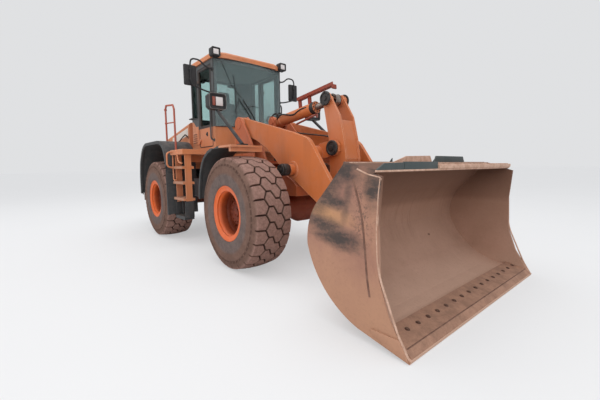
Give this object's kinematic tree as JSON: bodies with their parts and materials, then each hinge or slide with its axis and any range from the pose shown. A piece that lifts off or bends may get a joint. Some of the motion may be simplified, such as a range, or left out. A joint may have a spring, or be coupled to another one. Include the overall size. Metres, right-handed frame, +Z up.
{
  "type": "wheel loader",
  "caption": "Articulated wheel loader with a Z-linkage, general purpose bucket, closed cab, ladders and rear counterweight.",
  "frame": {"origin": "on the ground, midway between the cutting edge and the counterweight's rear face, on the centre plane", "axes": "+X forward, +Y to the machine's left, +Z up"},
  "size_m": [8.0997, 2.915, 3.5603],
  "materials": {
    "body_orange": "satin",
    "rim_orange": "satin",
    "arm_orange": "satin",
    "frame_dark": "matt",
    "grey_steel": "matt",
    "bucket_steel": "worn",
    "edge_steel": "worn",
    "rod_chrome": "polished",
    "tyre_rubber": "dusty",
    "rubber_black": "matt",
    "plastic_black": "matt",
    "cab_glass_tint": "clear",
    "seat_fabric": "woven",
    "cast_grey": "matt",
    "pipe_dark": "matt"
  },
  "bodies": {
    "rear_machine": {"rear_frame": "frame_dark", "rear_axle": "arm_orange", "engine_block": "cast_grey", "hood": "body_orange", "rear_grille": "plastic_black", "counterweight": "frame_dark", "cab_base": "body_orange", "cab_frame": "frame_dark", "cab_roof": "body_orange", "cab_glass": "cab_glass_tint", "cab_controls": "plastic_black", "seat": "seat_fabric", "mirrors": "plastic_black", "work_lamps": "plastic_black", "grab_rails": "frame_dark", "decks": "body_orange", "side_boxes": "grey_steel", "ladders": "body_orange", "foot_steps": "rubber_black", "rear_mudguards": "rubber_black", "handrails": "arm_orange", "stacks": "pipe_dark"},
    "front_machine": {"front_frame": "arm_orange", "front_axle": "arm_orange", "front_fenders": "body_orange", "front_flaps": "rubber_black", "headlamps": "plastic_black"},
    "arms": {"lift_arms": "arm_orange"},
    "lever_pivot": {"lever_pin": "frame_dark"},
    "lever": {"tilt_lever": "arm_orange"},
    "link_pivot": {"link_pin": "frame_dark"},
    "link": {"tilt_link": "arm_orange"},
    "bucket_hinge": {"bucket_pins": "edge_steel"},
    "bucket_body": {"bucket": "bucket_steel", "cutting_edge": "edge_steel"},
    "tilt_tube_body": {"tilt_tube": "arm_orange", "tilt_guard": "arm_orange"},
    "tilt_rod_body": {"tilt_rod": "rod_chrome"},
    "wheel_front_left": {"tyre_front_left": "tyre_rubber", "rim_front_left": "rim_orange"},
    "wheel_front_right": {"tyre_front_right": "tyre_rubber", "rim_front_right": "rim_orange"},
    "wheel_rear_left": {"tyre_rear_left": "tyre_rubber", "rim_rear_left": "rim_orange"},
    "wheel_rear_right": {"tyre_rear_right": "tyre_rubber", "rim_rear_right": "rim_orange"},
    "lift_tube_body_left": {"lift_tube_left": "arm_orange"},
    "lift_rod_body_left": {"lift_rod_left": "rod_chrome"},
    "steer_tube_body_left": {"steer_tube_left": "arm_orange"},
    "steer_rod_body_left": {"steer_rod_left": "rod_chrome"},
    "door_body_left": {"door_panel_left": "body_orange", "door_frame_left": "frame_dark", "door_glass_left": "cab_glass_tint"},
    "lift_tube_body_right": {"lift_tube_right": "arm_orange"},
    "lift_rod_body_right": {"lift_rod_right": "rod_chrome"},
    "steer_tube_body_right": {"steer_tube_right": "arm_orange"},
    "steer_rod_body_right": {"steer_rod_right": "rod_chrome"},
    "door_body_right": {"door_panel_right": "body_orange", "door_frame_right": "frame_dark", "door_glass_right": "cab_glass_tint"}
  },
  "joints": [
    {"name": "articulation", "type": "hinge", "parent": "rear_machine", "child": "front_machine", "pos_m": [-0.4375, 0, 0.95], "axis": [0, 0, 1], "range_deg": [-37, 37]},
    {"name": "wheel_front_left_spin", "type": "hinge", "parent": "front_machine", "child": "wheel_front_left", "pos_m": [1.1625, 1.095, 0.8], "axis": [0, 1, 0], "continuous": true},
    {"name": "wheel_front_right_spin", "type": "hinge", "parent": "front_machine", "child": "wheel_front_right", "pos_m": [1.1625, -1.095, 0.8], "axis": [0, 1, 0], "continuous": true},
    {"name": "wheel_rear_left_spin", "type": "hinge", "parent": "rear_machine", "child": "wheel_rear_left", "pos_m": [-2.0375, 1.095, 0.8], "axis": [0, 1, 0], "continuous": true},
    {"name": "wheel_rear_right_spin", "type": "hinge", "parent": "rear_machine", "child": "wheel_rear_right", "pos_m": [-2.0375, -1.095, 0.8], "axis": [0, 1, 0], "continuous": true},
    {"name": "lift", "type": "hinge", "parent": "front_machine", "child": "arms", "pos_m": [0.2425, 0, 2.18], "axis": [0, -1, 0], "range_deg": [0, 74]},
    {"name": "bucket_level", "type": "hinge", "parent": "arms", "child": "bucket_hinge", "pos_m": [2.6775, 0, 0.58], "axis": [0, 1, 0], "range_deg": [-0.5, 70.73]},
    {"name": "bucket_tilt", "type": "hinge", "parent": "bucket_hinge", "child": "bucket_body", "pos_m": [2.6775, 0, 0.58], "axis": [0, 1, 0], "range_deg": [-42, 45]},
    {"name": "lever_level", "type": "hinge", "parent": "arms", "child": "lever_pivot", "pos_m": [2.0925, 0, 1.69], "axis": [0, -1, 0], "range_deg": [-0.5, 23.14]},
    {"name": "lever_tilt", "type": "hinge", "parent": "lever_pivot", "child": "lever", "pos_m": [2.0925, 0, 1.69], "axis": [0, -1, 0], "range_deg": [-8.48, 9.05]},
    {"name": "link_level", "type": "hinge", "parent": "lever", "child": "link_pivot", "pos_m": [2.0925, 0, 0.93], "axis": [0, -1, 0], "range_deg": [-59.92, 0.5]},
    {"name": "link_tilt", "type": "hinge", "parent": "link_pivot", "child": "link", "pos_m": [2.0925, 0, 0.93], "axis": [0, -1, 0], "range_deg": [-14.18, 13.27]},
    {"name": "tilt_tube_swing", "type": "hinge", "parent": "front_machine", "child": "tilt_tube_body", "pos_m": [0.5625, 0, 2.22], "axis": [0, -1, 0], "range_deg": [-0.5, 79.01]},
    {"name": "tilt_rod_slide", "type": "slide", "parent": "tilt_tube_body", "child": "tilt_rod_body", "axis": [0.9928, 0, 0.12], "range_m": [-0.2053, 0.1919]},
    {"name": "lift_tube_swing_left", "type": "hinge", "parent": "front_machine", "child": "lift_tube_body_left", "pos_m": [0.1125, 0.7, 1], "axis": [0, -1, 0], "range_deg": [-0.5, 47]},
    {"name": "lift_rod_slide_left", "type": "slide", "parent": "lift_tube_body_left", "child": "lift_rod_body_left", "axis": [0.9671, 0, 0.2545], "range_m": [-0.005, 1.0582]},
    {"name": "steer_tube_swing_left", "type": "hinge", "parent": "rear_machine", "child": "steer_tube_body_left", "pos_m": [-1.0375, 0.4, 0.95], "axis": [0, 0, 1], "range_deg": [-11.65, 11.65]},
    {"name": "steer_rod_slide_left", "type": "slide", "parent": "steer_tube_body_left", "child": "steer_rod_body_left", "axis": [0.9963, -0.0862, 0], "range_m": [-0.2234, 0.2234]},
    {"name": "door_left_swing", "type": "hinge", "parent": "rear_machine", "child": "door_body_left", "pos_m": [-1.0275, 0.77, 2.5], "axis": [0, 0, 1], "range_deg": [0, 85]},
    {"name": "lift_tube_swing_right", "type": "hinge", "parent": "front_machine", "child": "lift_tube_body_right", "pos_m": [0.1125, -0.7, 1], "axis": [0, -1, 0], "range_deg": [-0.5, 47]},
    {"name": "lift_rod_slide_right", "type": "slide", "parent": "lift_tube_body_right", "child": "lift_rod_body_right", "axis": [0.9671, 0, 0.2545], "range_m": [-0.005, 1.0582]},
    {"name": "steer_tube_swing_right", "type": "hinge", "parent": "rear_machine", "child": "steer_tube_body_right", "pos_m": [-1.0375, -0.4, 0.95], "axis": [0, 0, 1], "range_deg": [-11.65, 11.65]},
    {"name": "steer_rod_slide_right", "type": "slide", "parent": "steer_tube_body_right", "child": "steer_rod_body_right", "axis": [0.9963, 0.0862, 0], "range_m": [-0.2234, 0.2234]},
    {"name": "door_right_swing", "type": "hinge", "parent": "rear_machine", "child": "door_body_right", "pos_m": [-1.0275, -0.77, 2.5], "axis": [0, 0, -1], "range_deg": [0, 85]}
  ],
  "couplings": [
    {"joint": "bucket_level", "follows": "lift", "ratio": 0.949},
    {"joint": "lever_level", "follows": "lift", "ratio": 0.306},
    {"joint": "lever_tilt", "follows": "bucket_tilt", "ratio": 0.19},
    {"joint": "link_level", "follows": "lift", "ratio": -0.803},
    {"joint": "link_tilt", "follows": "bucket_tilt", "ratio": -0.304},
    {"joint": "tilt_tube_swing", "follows": "lift", "ratio": 1.061},
    {"joint": "tilt_rod_slide", "follows": "bucket_tilt", "m_per_rad": -0.255},
    {"joint": "lift_tube_swing_left", "follows": "lift", "ratio": 0.62835},
    {"joint": "lift_rod_slide_left", "follows": "lift", "m_per_rad": 0.81545},
    {"joint": "steer_tube_swing_left", "follows": "articulation", "ratio": 0.30129},
    {"joint": "steer_rod_slide_left", "follows": "articulation", "m_per_rad": -0.33819},
    {"joint": "lift_tube_swing_right", "follows": "lift", "ratio": 0.62835},
    {"joint": "lift_rod_slide_right", "follows": "lift", "m_per_rad": 0.81545},
    {"joint": "steer_tube_swing_right", "follows": "articulation", "ratio": 0.30129},
    {"joint": "steer_rod_slide_right", "follows": "articulation", "m_per_rad": 0.33819}
  ]
}
